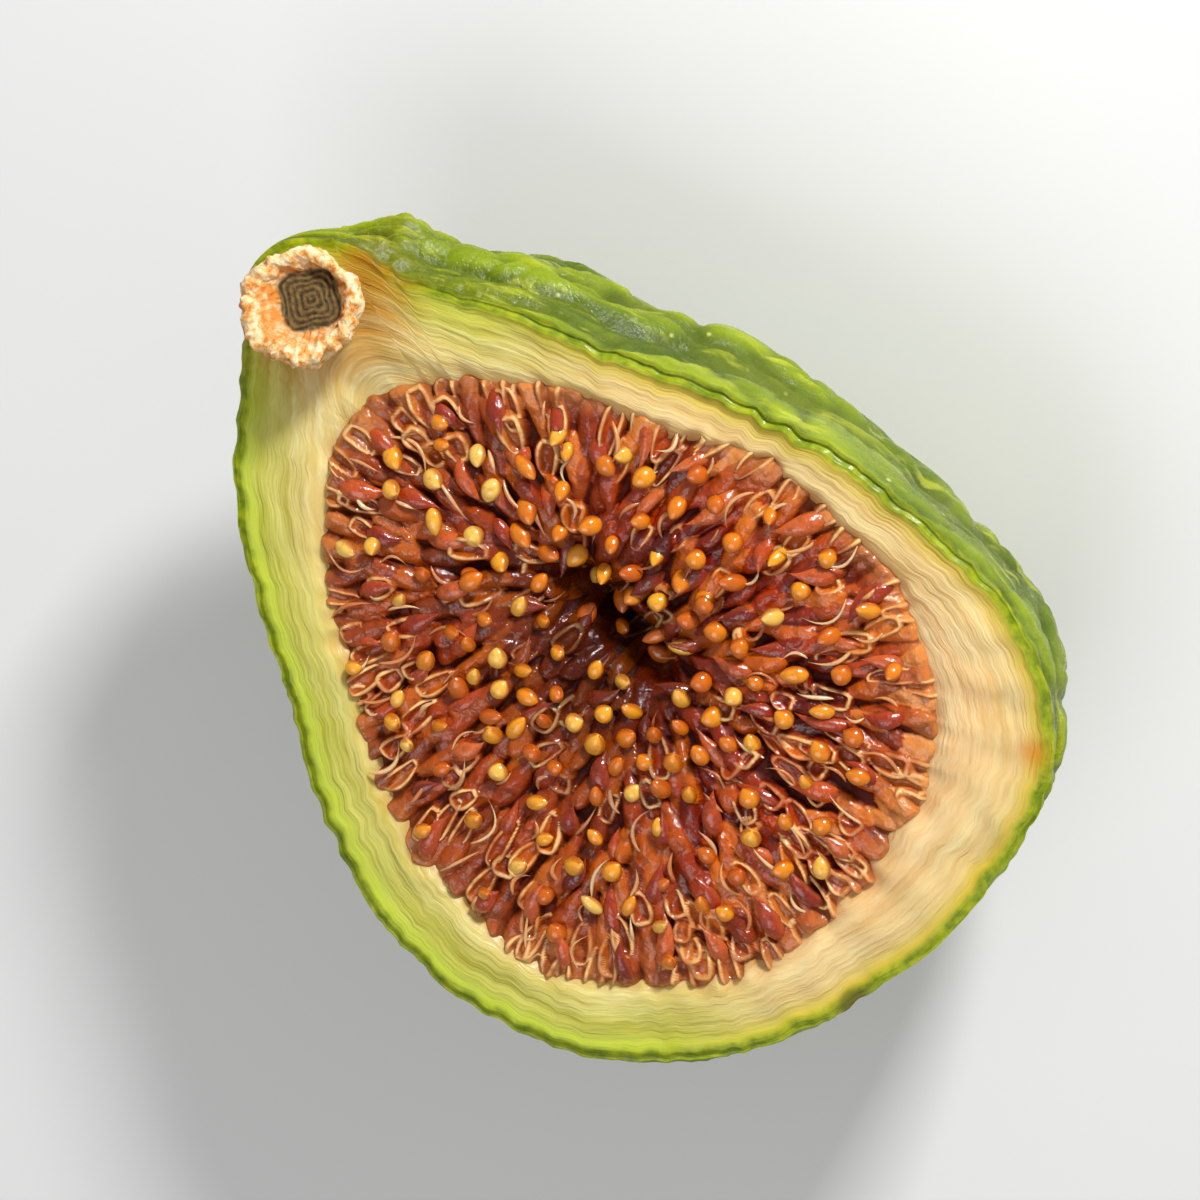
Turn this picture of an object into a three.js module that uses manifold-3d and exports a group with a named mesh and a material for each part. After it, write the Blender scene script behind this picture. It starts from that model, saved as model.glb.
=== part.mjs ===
// Half of a freeze-dried green fig, lying on its skin with the cut face up.
//
// The fruit is one grown body: ribbed skin, a pale rind that the knife left flat, and a dished bed of
// pulp that falls away to a hollow in the middle. It dried on a tray, which flattened a patch of its
// underside. The woody stalk stub was missed by the knife, so it is whole: it is seated in the neck of
// flesh at the stalk end and bends up past the cut face.
//
// Millimetres. +X runs along the fruit to the stalk, +Z is up, and the origin lies under the middle of
// the whole object on the surface that it rests on.

import * as THREE from "three";
import { mergeVertices } from "three/addons/utils/BufferGeometryUtils.js";
import Module from "manifold-3d";

const wasm = await Module();
wasm.setup();

// Driving dimensions of the fruit.
const FRUIT_LENGTH = 32.2; // blossom end to stalk end
const MIDDLE_WIDTH = 23.7; // across the cut face, halfway along
const DEPTH_TO_WIDTH = 1.05; // depth below the cut face over half the width
const CUT_HEIGHT = 12.2; // the cut face above the resting surface
const TAPER = 0.38; // share by which the stalk end is narrower than the middle
const END_POWER = { blossom: 0.44, stalk: 0.53 }; // 0.5 is an ellipse, and less is blunter
const SIDE_LEAN = { blossom: -0.6, middle: 1.7, stalk: 0.6 }; // where its middle line lies in Y
const FLANK_BULGE = 0.12; // how far the +Y flank swells past the cut edge
const NEAR_BULGE = { middle: 0.31, slope: 0.6, curve: 0.6 }; // the same for -Y, by u
const WAIST = { depth: 0.5, place: 0.4, spread: 0.2 }; // where the shoulders draw in
const RIBS = { count: 9, depth: 0.035 }; // ribs round the half, and their depth as a share of the radius
const RIB_WANDER = { turns: 0.9, around: 3, along: 2 }; // how unevenly the ribs are spaced

// The bed of pulp in the cut face.
const PULP = { middle: -1.1, side: 1.4, halfLength: 11.9, halfWidth: 9.8, taper: 0.3 };
const PULP_DROP = 0.5; // step down from the rind
const PULP_SLOPE = 0.7; // further fall from the edge of the pulp to its middle
const HOLLOW = { middle: -0.3, side: 0.3, depth: 2.3, spread: 1.9 }; // the hollow inside the pulp
const PULP_EDGE = { inner: 0.88, outer: 1.02 }; // where the step down ends and starts

// The stalk stub and the neck of flesh that holds it.
const STUB = { length: 4.2, rootRadius: 1.25, collarRadius: 2.05, coreRadius: 1.05, coreDepth: 0.5 };
const FLARE = { from: 0.55, to: 0.78 }; // where the root widens to the collar, as a share of the length
const LIP_ROUNDING = 0.15; // how much the collar draws in at its end
const STUB_END = new THREE.Vector3(-1.4, -0.8, 1.9); // middle of its end, from the fruit's tip
const STUB_AXIS = new THREE.Vector3(0.1, -0.34, 0.93).normalize();
const SEAT_GAP = 0.3; // clearance between the stub and its seat
const NECK = { length: 5.8, width: 6.2, depth: 3.6, reach: 0.9, side: -0.3 }; // reach is past the tip

// How finely the shapes are divided.
const STATIONS = 40;
const SKIN_STEPS = 48;
const FACE_STEPS = 22;
const STUB_SEGMENTS = 20;
const NECK_STEPS = 12;

// 0 below low, 1 above high, and a smooth rise between them.
const rise = (x, low, high) => THREE.MathUtils.smoothstep(x, low, high);

// Along the fruit, u runs from -1 at the blossom end to 1 at the stalk end.
const alongX = (u) => (u * FRUIT_LENGTH) / 2;

// Half the width of the cut face at u.
function halfWidth(u) {
  const power = u > 0 ? END_POWER.stalk : END_POWER.blossom;
  const egg = (MIDDLE_WIDTH / 2) * (1 - u * u) ** power * (1 - TAPER * u);
  const waist = WAIST.depth * Math.exp(-(((u - WAIST.place) / WAIST.spread) ** 2));
  return egg - waist * Math.sqrt(1 - u * u);
}

// Where the middle of the section at u lies in Y.
function middleY(u) {
  return THREE.MathUtils.lerp(SIDE_LEAN.middle, u > 0 ? SIDE_LEAN.stalk : SIDE_LEAN.blossom, u * u);
}

// How far the flank swells at u, at angle a. The -Y flank swells most, and more towards the stalk.
function flankBulge(u, a) {
  const near = NEAR_BULGE.middle + NEAR_BULGE.slope * u + NEAR_BULGE.curve * u * u;
  return THREE.MathUtils.lerp(FLANK_BULGE, near, (1 - Math.cos(a)) / 2);
}

// A point of the skin at u, at angle a from the +Y cut edge (0) round the underside to the -Y one (pi).
function skinPoint(u, a) {
  const wander = RIB_WANDER.turns * Math.sin(RIB_WANDER.around * a + RIB_WANDER.along * u);
  const turn = 2 * RIBS.count * a + wander;
  const rib = 1 - RIBS.depth * 0.5 * (1 - Math.cos(turn));
  const across = Math.cos(a) * (1 + flankBulge(u, a) * Math.sin(a));
  const y = middleY(u) + halfWidth(u) * rib * across;
  const z = CUT_HEIGHT - halfWidth(u) * DEPTH_TO_WIDTH * rib * Math.sin(a);
  return new THREE.Vector3(alongX(u), y, z);
}

// How far the pulp lies below the cut face at x, y.
function pulpDepth(x, y) {
  const v = (x - PULP.middle) / PULP.halfLength;
  const w = (y - PULP.side) / (PULP.halfWidth * (1 - PULP.taper * v));
  const out = Math.hypot(v, w);
  const inside = 1 - rise(out, PULP_EDGE.inner, PULP_EDGE.outer);
  const fromHollow = Math.hypot(x - HOLLOW.middle, y - HOLLOW.side);
  const hollow = HOLLOW.depth * Math.exp(-((fromHollow / HOLLOW.spread) ** 2));
  return inside * (PULP_DROP + PULP_SLOPE * (1 - out) + hollow);
}

// One closed section at u: round the skin from +Y to -Y, then back across the cut face.
function section(u) {
  const skin = [];
  for (let i = 0; i <= SKIN_STEPS; i++) skin.push(skinPoint(u, (Math.PI * i) / SKIN_STEPS));
  const from = skin[SKIN_STEPS].y;
  const to = skin[0].y;
  const face = [];
  for (let i = 1; i < FACE_STEPS; i++) {
    const y = THREE.MathUtils.lerp(from, to, i / FACE_STEPS);
    face.push(new THREE.Vector3(alongX(u), y, CUT_HEIGHT - pulpDepth(alongX(u), y)));
  }
  return [...skin, ...face];
}

// A closed surface through rings of equally many points, with a single point at each end.
function loft(rings, start, end) {
  const size = rings[0].length;
  const points = [start, ...rings.flat(), end];
  const last = points.length - 1;
  const at = (ring, i) => 1 + ring * size + (i % size);
  const faces = [];
  for (let i = 0; i < size; i++) {
    faces.push(0, at(0, i), at(0, i + 1));
    faces.push(last, at(rings.length - 1, i + 1), at(rings.length - 1, i));
    for (let ring = 0; ring + 1 < rings.length; ring++) {
      faces.push(at(ring, i), at(ring + 1, i), at(ring + 1, i + 1));
      faces.push(at(ring, i), at(ring + 1, i + 1), at(ring, i + 1));
    }
  }
  return new THREE.BufferGeometry().setFromPoints(points).setIndex(faces);
}

// The whole half before the tray and the seat are cut. Stations crowd towards both ends.
function fruitBlank() {
  const rings = [];
  for (let i = 1; i < STATIONS; i++) rings.push(section(-Math.cos((Math.PI * i) / STATIONS)));
  const tip = (u) => new THREE.Vector3(alongX(u), middleY(u), CUT_HEIGHT);
  return loft(rings, tip(-1), tip(1));
}

// A lathe about the stub's axis, through radius and height pairs. Height 0 is the stub's root.
function onStubAxis(profile) {
  const points = profile.map(([radius, height]) => new THREE.Vector2(radius, height));
  const geometry = new THREE.LatheGeometry(points, STUB_SEGMENTS);
  const upright = new THREE.Vector3(0, 1, 0);
  geometry.applyQuaternion(new THREE.Quaternion().setFromUnitVectors(upright, STUB_AXIS));
  const tip = new THREE.Vector3(FRUIT_LENGTH / 2, 0, CUT_HEIGHT);
  const root = tip.add(STUB_END).addScaledVector(STUB_AXIS, -STUB.length);
  return geometry.translate(root.x, root.y, root.z);
}

// The stub: a straight root, a collar that flares where it broke off, and a sunken core.
function stub() {
  return onStubAxis([
    [0, 0],
    [STUB.rootRadius, 0],
    [STUB.rootRadius, STUB.length * FLARE.from],
    [STUB.collarRadius, STUB.length * FLARE.to],
    [STUB.collarRadius - LIP_ROUNDING, STUB.length],
    [STUB.coreRadius + LIP_ROUNDING, STUB.length],
    [STUB.coreRadius, STUB.length - STUB.coreDepth],
    [0, STUB.length - STUB.coreDepth],
  ]);
}

// The space that the stub and its clearance take up in the neck.
function seat() {
  const radius = STUB.rootRadius + SEAT_GAP;
  const top = STUB.length;
  return onStubAxis([[0, -SEAT_GAP], [radius, -SEAT_GAP], [radius, top], [0, top]]);
}

// The neck of flesh that holds the stub's root: half of a long ball, cut with the rest of the fruit.
function neck() {
  const ball = new THREE.SphereGeometry(1, 2 * NECK_STEPS, NECK_STEPS);
  ball.scale(NECK.length / 2, NECK.width / 2, NECK.depth);
  ball.translate((FRUIT_LENGTH - NECK.length) / 2 + NECK.reach, NECK.side, CUT_HEIGHT);
  return ball;
}

// A block of space on one side of a level plane: above it for side 1, below it for side -1.
function levelBlock(height, side) {
  const size = 2 * FRUIT_LENGTH;
  return new THREE.BoxGeometry(size, size, size).translate(0, 0, height + (side * size) / 2);
}

// A three.js geometry as a manifold-3d solid.
function solid(geometry) {
  const bare = geometry.clone();
  bare.deleteAttribute("normal");
  bare.deleteAttribute("uv");
  const merged = mergeVertices(bare, 1e-4);
  const mesh = new wasm.Mesh({
    numProp: 3,
    vertProperties: merged.getAttribute("position").array,
    triVerts: new Uint32Array(merged.getIndex().array),
  });
  return new wasm.Manifold(mesh);
}

// A manifold-3d solid as a three.js geometry.
function geometryOf(manifold) {
  const mesh = manifold.getMesh();
  const geometry = new THREE.BufferGeometry();
  geometry.setAttribute("position", new THREE.BufferAttribute(mesh.vertProperties, 3));
  geometry.setIndex(new THREE.BufferAttribute(mesh.triVerts, 1));
  geometry.computeVertexNormals();
  return geometry;
}

function part(name, geometry, color, roughness) {
  const material = new THREE.MeshStandardMaterial({ color, roughness, metalness: 0 });
  const mesh = new THREE.Mesh(geometry, material);
  mesh.name = name;
  return mesh;
}

// The fruit: the blank and its neck, flattened by the tray and bored for the stub.
const cutNeck = solid(neck()).subtract(solid(levelBlock(CUT_HEIGHT, 1)));
const fruit = solid(fruitBlank())
  .add(cutNeck)
  .subtract(solid(levelBlock(0, -1)))
  .subtract(solid(seat()));

const fig = new THREE.Group();
fig.add(part("fig_half", geometryOf(fruit), 0x9a9a3c, 0.55));
fig.add(part("stem_stub", stub(), 0xd9a862, 0.8));

// The origin goes under the middle of the whole object.
const box = new THREE.Box3().setFromObject(fig);
const middle = box.getCenter(new THREE.Vector3());
fig.position.set(-middle.x, -middle.y, -box.min.z);

export default fig;
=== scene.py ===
import itertools
import math

import bpy
import numpy as np
from mathutils import Matrix, Vector


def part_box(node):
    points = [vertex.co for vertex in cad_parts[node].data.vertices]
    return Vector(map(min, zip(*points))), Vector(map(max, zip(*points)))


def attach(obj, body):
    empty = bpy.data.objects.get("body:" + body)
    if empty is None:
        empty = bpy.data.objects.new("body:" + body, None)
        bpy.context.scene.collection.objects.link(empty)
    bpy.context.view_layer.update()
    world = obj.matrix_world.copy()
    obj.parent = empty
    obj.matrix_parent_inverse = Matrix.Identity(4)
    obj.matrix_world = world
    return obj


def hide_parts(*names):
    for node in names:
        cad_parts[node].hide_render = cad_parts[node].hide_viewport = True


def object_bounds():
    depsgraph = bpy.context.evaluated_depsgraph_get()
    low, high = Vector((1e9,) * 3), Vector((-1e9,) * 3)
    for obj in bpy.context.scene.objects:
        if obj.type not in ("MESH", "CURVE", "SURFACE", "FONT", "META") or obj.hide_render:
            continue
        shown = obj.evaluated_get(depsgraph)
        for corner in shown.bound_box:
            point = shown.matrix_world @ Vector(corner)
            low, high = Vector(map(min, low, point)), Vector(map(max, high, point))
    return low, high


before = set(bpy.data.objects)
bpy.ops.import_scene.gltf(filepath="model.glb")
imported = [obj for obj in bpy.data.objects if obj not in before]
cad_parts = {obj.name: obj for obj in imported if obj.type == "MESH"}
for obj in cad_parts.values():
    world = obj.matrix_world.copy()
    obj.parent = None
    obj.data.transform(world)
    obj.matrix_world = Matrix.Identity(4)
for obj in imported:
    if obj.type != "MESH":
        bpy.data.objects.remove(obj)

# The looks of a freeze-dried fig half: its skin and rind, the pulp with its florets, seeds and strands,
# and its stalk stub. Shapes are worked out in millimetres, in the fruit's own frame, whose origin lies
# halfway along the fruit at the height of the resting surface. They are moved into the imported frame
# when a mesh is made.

cad_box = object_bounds()
MM = 0.001
rng = np.random.default_rng(20)

# ---- Sizes ----

# The fruit, as the CAD model has it.
FRUIT_LENGTH = 32.2
HALF_LENGTH = FRUIT_LENGTH / 2
MIDDLE_WIDTH = 23.7
DEPTH_TO_WIDTH = 1.05
TAPER = 0.38
BLOSSOM_POWER, STALK_POWER = 0.44, 0.53
LEAN_BLOSSOM, LEAN_MIDDLE, LEAN_STALK = -0.6, 1.7, 0.6
FLANK_BULGE = 0.12
NEAR_BULGE = (0.31, 0.6, 0.6)
RIB_COUNT, RIB_DEPTH = 9, 0.035
WAIST_DEPTH, WAIST_PLACE, WAIST_SPREAD = 0.5, 0.4, 0.2
NECK_LENGTH, NECK_WIDTH, NECK_DEPTH = 5.8, 6.2, 3.6
NECK_REACH, NECK_SIDE = 0.9, -0.3
CUT_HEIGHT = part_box("fig_half")[1].z / MM

# The middle of the stub's end, as seen from above, how far that stands out of the cut, and its axis.
STUB_PLACE = np.array([HALF_LENGTH - 1.4, -0.8])
STUB_RISE = 1.9
STUB_AXIS = np.array([0.1, -0.34, 0.93])

# The pulp in the cut face, the hollow in it, and the dish in the rind that holds it.
PULP_MIDDLE = np.array([-1.1, 1.4])
PULP_LENGTH, PULP_WIDTH, PULP_TAPER = 11.9, 9.8, 0.3
HOLLOW = np.array([-0.3, 0.3])
HOLLOW_REACH = 1.7
BED_DEPTH = 4.8
DISH_DEPTH = 1.6  # how far below the cut the rind goes where it dips under the pulp
DISH_RINGS = (0.85, 0.65, 0.45, 0.25)  # rings of the dish, as shares of the way out in the pulp

# What lies in the pulp: how far apart, and from which to which share of the way out.
FLORET_SPACING = (0.69, 0.05, 1.0)
RAISED_SPACING = (1.7, 0.1, 0.9)
SEED_SPACING = ((0.95, 0.02, 0.45), (1.3, 0.45, 0.8), (2.2, 0.8, 0.91))
STRAND_SPACING = ((1.4, 0.5, 0.92), (2.3, 0.15, 0.5))

# Marks on the rim of the cut: the eye at the blossom end, and a nick.
EYE, EYE_SIZE = np.array([-15.6, 3.0]), np.array([0.55, 0.9])
NICK, NICK_SIZE = np.array([-13.36, -8.05]), np.array([0.5, 0.5])

# How finely the meshes are divided.
STATIONS = 330
SKIN_STEPS = 170
RIND_RINGS = 34
BED_GRID = 300
FLORET_STEPS, SEED_STEPS, STRAND_STEPS = 12, 12, 14
SKIN_LAYER = 30.0  # where the skin lies in the noise, well away from the rind
SKIN_AROUND = 11  # the length that noise takes for each radian round the skin


# ---- Small tools ----


def rise(x, low, high):
    """0 below low, 1 above high, and a smooth rise between them."""
    t = np.clip((x - low) / (high - low), 0, 1)
    return t * t * (3 - 2 * t)


def mound(x, middle, spread):
    """A bell of height 1 at middle."""
    return np.exp(-(((x - middle) / spread) ** 2))


def hashed(cell, seed):
    """A repeatable number from -1 to 1 for each integer cell, whose last axis is x, y, z."""
    mixed = (cell[..., 0] * 73856093) ^ (cell[..., 1] * 19349663) ^ (cell[..., 2] * 83492791)
    mixed = (mixed ^ (seed * 40503 + 977)) & 0xFFFFFFFF
    mixed = ((mixed ^ (mixed >> 15)) * 2246822519) & 0xFFFFFFFF
    mixed = ((mixed ^ (mixed >> 13)) * 3266489917) & 0xFFFFFFFF
    return ((mixed ^ (mixed >> 16)) & 0xFFFF) / 32767.5 - 1


def noise(points, size, seed):
    """Smooth noise from about -1 to 1, with features about size across. size may differ by axis."""
    scaled = np.asarray(points, float) / size
    cell = np.floor(scaled).astype(np.int64)
    part = scaled - cell
    fade = part ** 3 * (part * (part * 6 - 15) + 10)
    total = 0.0
    for corner in itertools.product((0, 1), repeat=3):
        offset = np.array(corner)
        weight = np.prod(np.where(offset, fade, 1 - fade), axis=-1)
        slopes = [hashed(cell + offset, 3 * seed + axis) for axis in range(3)]
        total = total + weight * sum(s * (part[..., i] - offset[i]) for i, s in enumerate(slopes))
    return 1.6 * total


def creases(points, size, seed, width):
    """1 along winding lines, falling to 0 at width of the noise's own range."""
    return np.clip(1 - np.abs(noise(points, size, seed)) / width, 0, 1) ** 1.5


def spread_out(*axes):
    """The points whose coordinates are the given arrays, broadcast together."""
    return np.stack(np.broadcast_arrays(*axes), axis=-1)


def unit(vectors):
    return vectors / np.maximum(np.linalg.norm(vectors, axis=-1, keepdims=True), 1e-9)


def grid_faces(grid):
    """Quads between neighbours in a grid of point numbers."""
    quads = np.stack([grid[:-1, :-1], grid[1:, :-1], grid[1:, 1:], grid[:-1, 1:]], axis=-1)
    return quads.reshape(-1, 4).tolist()


def loop_faces(loops):
    """Quads from each closed loop of point numbers to the next one in."""
    rolled = np.roll(loops, -1, axis=1)
    quads = np.stack([loops[:-1], loops[1:], rolled[1:], rolled[:-1]], axis=-1)
    return quads.reshape(-1, 4).tolist()


def fan_faces(loop, middle):
    """Triangles from a closed loop of point numbers to one point inside it."""
    return [[int(i), int(middle), int(j)] for i, j in zip(loop, np.roll(loop, -1))]


# ---- The shape of the fruit ----


def half_width(x):
    """Half the width of the cut face at x, without its neck."""
    u = np.clip(x / HALF_LENGTH, -1, 1)
    power = np.where(u > 0, STALK_POWER, BLOSSOM_POWER)
    round_off = np.clip(1 - u * u, 1e-12, 1)
    egg = MIDDLE_WIDTH / 2 * round_off ** power * (1 - TAPER * u)
    return egg - WAIST_DEPTH * mound(u, WAIST_PLACE, WAIST_SPREAD) * np.sqrt(round_off)


def neck_share(x):
    """How much of the neck's full width is there at x."""
    along = (x - (HALF_LENGTH + NECK_REACH - NECK_LENGTH / 2)) / (NECK_LENGTH / 2)
    return np.sqrt(np.clip(1 - along * along, 0, 1))


def larger(a, b):
    """The larger of a and b, with a smooth change from one to the other."""
    return (a ** 6 + b ** 6) ** (1 / 6)


def middle_y(x):
    """Where the middle of the section at x lies in Y."""
    u = np.clip(x / HALF_LENGTH, -1, 1)
    end = np.where(u > 0, LEAN_STALK, LEAN_BLOSSOM)
    lean = LEAN_MIDDLE + (end - LEAN_MIDDLE) * u * u
    return lean + (NECK_SIDE - lean) * rise(x, HALF_LENGTH - 3.5, HALF_LENGTH)


def across(x, a):
    """How far across the section the skin is at angle a, as a share of its half width.

    a runs from 0 at the +Y cut edge round the underside to pi at the -Y one, where the flank swells
    most.
    """
    u = np.clip(x / HALF_LENGTH, -1, 1)
    middle, slope, curve = NEAR_BULGE
    at_neck = rise(x, HALF_LENGTH - 1.5, HALF_LENGTH)
    near = (middle + slope * u + curve * u * u) * (1 - 0.7 * at_neck)
    bulge = FLANK_BULGE + (near - FLANK_BULGE) * (1 - np.cos(a)) / 2
    return np.cos(a) * (1 + bulge * np.sin(a))


def travel(x):
    """How far along the skin x is, so that noise isn't drawn out where the skin turns in at its ends."""
    stations = -HALF_LENGTH * np.cos(np.linspace(0, math.pi, 400))
    steps = np.hypot(np.diff(stations), np.diff(half_width(stations)))
    return np.interp(x, stations, np.concatenate([[0], np.cumsum(steps)]))


def rib_turn(x, a):
    """The turn that the ribs have gone through at angle a. They are unevenly spaced."""
    return 2 * RIB_COUNT * a + 0.9 * np.sin(3 * a + 2 * x / HALF_LENGTH)


def skin_relief(x, a):
    """How far the skin lies inside the plain shape, and how deep in a crease each point is, 0 to 1."""
    around = a * SKIN_AROUND
    flat = spread_out(travel(x), around, 0.0)
    bent = around + 1.3 * noise(flat, (8, 5, 1), 1) + 0.35 * noise(flat, (2.2, 2, 1), 2)
    winding = spread_out(travel(x), bent, 0.0)
    ribs = 0.5 - 0.5 * np.cos(rib_turn(x, a) + 0.25 * (bent - around))
    long_creases = creases(winding, (15, 2.6, 1), 3, 0.3)
    branches = creases(winding, (5, 1.7, 1), 4, 0.28)
    crumples = creases(winding, (1.5, 1.3, 1), 5, 0.35)
    swell = noise(flat, (6, 4, 1), 6)
    relief = 0.34 * ribs ** 1.5 + 0.42 * long_creases + 0.24 * branches + 0.1 * crumples
    relief = relief + 0.16 + 0.2 * swell
    relief = relief * (0.4 + 0.6 * rise(np.sin(a), 0.02, 0.3)) + 0.03 * noise(flat, (0.5, 0.4, 1), 7)
    scallops = np.abs(noise(spread_out(travel(x), 3.0, 0.0), (1.3, 1, 1), 8))
    relief = relief + 0.26 * scallops * (1 - rise(np.sin(a), 0.0, 0.16))
    deep = np.clip(0.55 * ribs ** 2 + 0.7 * long_creases + 0.5 * branches + 0.3 * crumples, 0, 1)
    return relief, deep


def skin_points(x, a):
    """Points of the skin, and how deep in a crease each one is.

    The relief sinks in square to the fruit's profile, so that it shows on the blunt ends too.
    """
    neck = neck_share(x)
    half = larger(half_width(x), NECK_WIDTH / 2 * neck)
    deep = larger(half_width(x) * DEPTH_TO_WIDTH, NECK_DEPTH * neck)
    relief, crease = skin_relief(x, a)
    relief = relief * rise(half, 0, 2.5)
    step = 0.02
    slope = (half_width(x + step) - half_width(x - step)) / (2 * step)
    steep = np.sqrt(1 + slope * slope)
    sunk = relief / steep
    y = middle_y(x) + (half - sunk) * across(x, a)
    z = CUT_HEIGHT - (deep - sunk) * np.sin(a)
    return spread_out(x + relief * slope / steep, y, np.maximum(z, 0)), crease


# ---- The shape of the pulp ----


def share_out(points):
    """How far out in the pulp each point is: 0 at its middle and 1 at its edge."""
    v = (points[..., 0] - PULP_MIDDLE[0]) / PULP_LENGTH
    w = (points[..., 1] - PULP_MIDDLE[1]) / (PULP_WIDTH * np.clip(1 - PULP_TAPER * v, 0.3, 2))
    return np.hypot(v, w)


def pulp_reach(angle):
    """How far from the middle of the pulp its edge is, at each angle."""
    heading = spread_out(np.cos(angle), np.sin(angle))
    low = np.full(angle.shape, 1.0)
    high = np.full(angle.shape, 16.0)
    for _ in range(30):
        middle = (low + high) / 2
        inside = share_out(PULP_MIDDLE + heading * middle[..., None]) < 1
        low = np.where(inside, middle, low)
        high = np.where(inside, high, middle)
    rim = heading * 9
    lobes = np.abs(noise(spread_out(rim[..., 0], rim[..., 1], 0.0), 0.95, 11))
    sway = noise(spread_out(rim[..., 0], rim[..., 1], 4.0), 3.6, 12)
    return low + 0.5 * lobes - 0.85 + 0.5 * sway


def peach_side(points):
    """1 on the side of the fruit where the rind is peach and the pulp is reddest, 0 on the other."""
    return rise(-points[..., 1] - 0.55 * points[..., 0], -5, 6)


def to_hollow(points):
    """For each point, the way to the nearest point of the line along the hollow, and how far it is."""
    nearest_x = np.clip(points[..., 0], HOLLOW[0] - HOLLOW_REACH, HOLLOW[0] + HOLLOW_REACH)
    way = spread_out(nearest_x, HOLLOW[1])[..., :2] - points[..., :2]
    return way, np.linalg.norm(way, axis=-1)


def pulp_height(points):
    """The height of the bed of pulp, without its fine relief."""
    out = np.clip(share_out(points), 0, 1)
    way, away = to_hollow(points)
    narrow = np.hypot(way[..., 0], 1.5 * way[..., 1])
    hollow = 2.0 * mound(narrow, 0, 0.95) + 0.9 * mound(away, 0, 2.6)
    return CUT_HEIGHT - 0.3 - 0.75 * (1 - out) - hollow


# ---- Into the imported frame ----

fruit_low, fruit_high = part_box("fig_half")
probe = np.linspace(-HALF_LENGTH, HALF_LENGTH, 200)[:, None]
probe_a = np.linspace(0, math.pi, 90)[None, :]
probe_ribs = 1 - RIB_DEPTH * 0.5 * (1 - np.cos(rib_turn(probe, probe_a)))
probe_y = middle_y(probe) + half_width(probe) * probe_ribs * across(probe, probe_a)
SHIFT = np.array([
    fruit_low.x / MM + HALF_LENGTH,
    (fruit_low.y + fruit_high.y) / 2 / MM - (probe_y.min() + probe_y.max()) / 2,
    0.0,
])


def make_piece(name, points, faces, finish, attributes):
    """A mesh from points in the fruit's frame, with smooth faces that point out."""
    mesh = bpy.data.meshes.new(name)
    mesh.from_pydata(((points + SHIFT) * MM).tolist(), [], faces)
    for key, values in attributes.items():
        flat = np.asarray(values, np.float32)
        kind = "FLOAT_VECTOR" if flat.ndim == 2 else "FLOAT"
        layer = mesh.attributes.new(key, kind, "POINT")
        layer.data.foreach_set("vector" if flat.ndim == 2 else "value", flat.ravel())
    mesh.polygons.foreach_set("use_smooth", [True] * len(mesh.polygons))
    mesh.materials.append(finish)
    piece = bpy.data.objects.new(name, mesh)
    bpy.context.scene.collection.objects.link(piece)
    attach(piece, "root")
    return piece


# ---- Materials ----


def shade(red, green, blue):
    """A colour of 0 to 255 as the linear values that a shader takes."""
    channels = [c / 255 for c in (red, green, blue)]
    linear = [c / 12.92 if c <= 0.04045 else ((c + 0.055) / 1.055) ** 2.4 for c in channels]
    return (*linear, 1.0)


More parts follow.
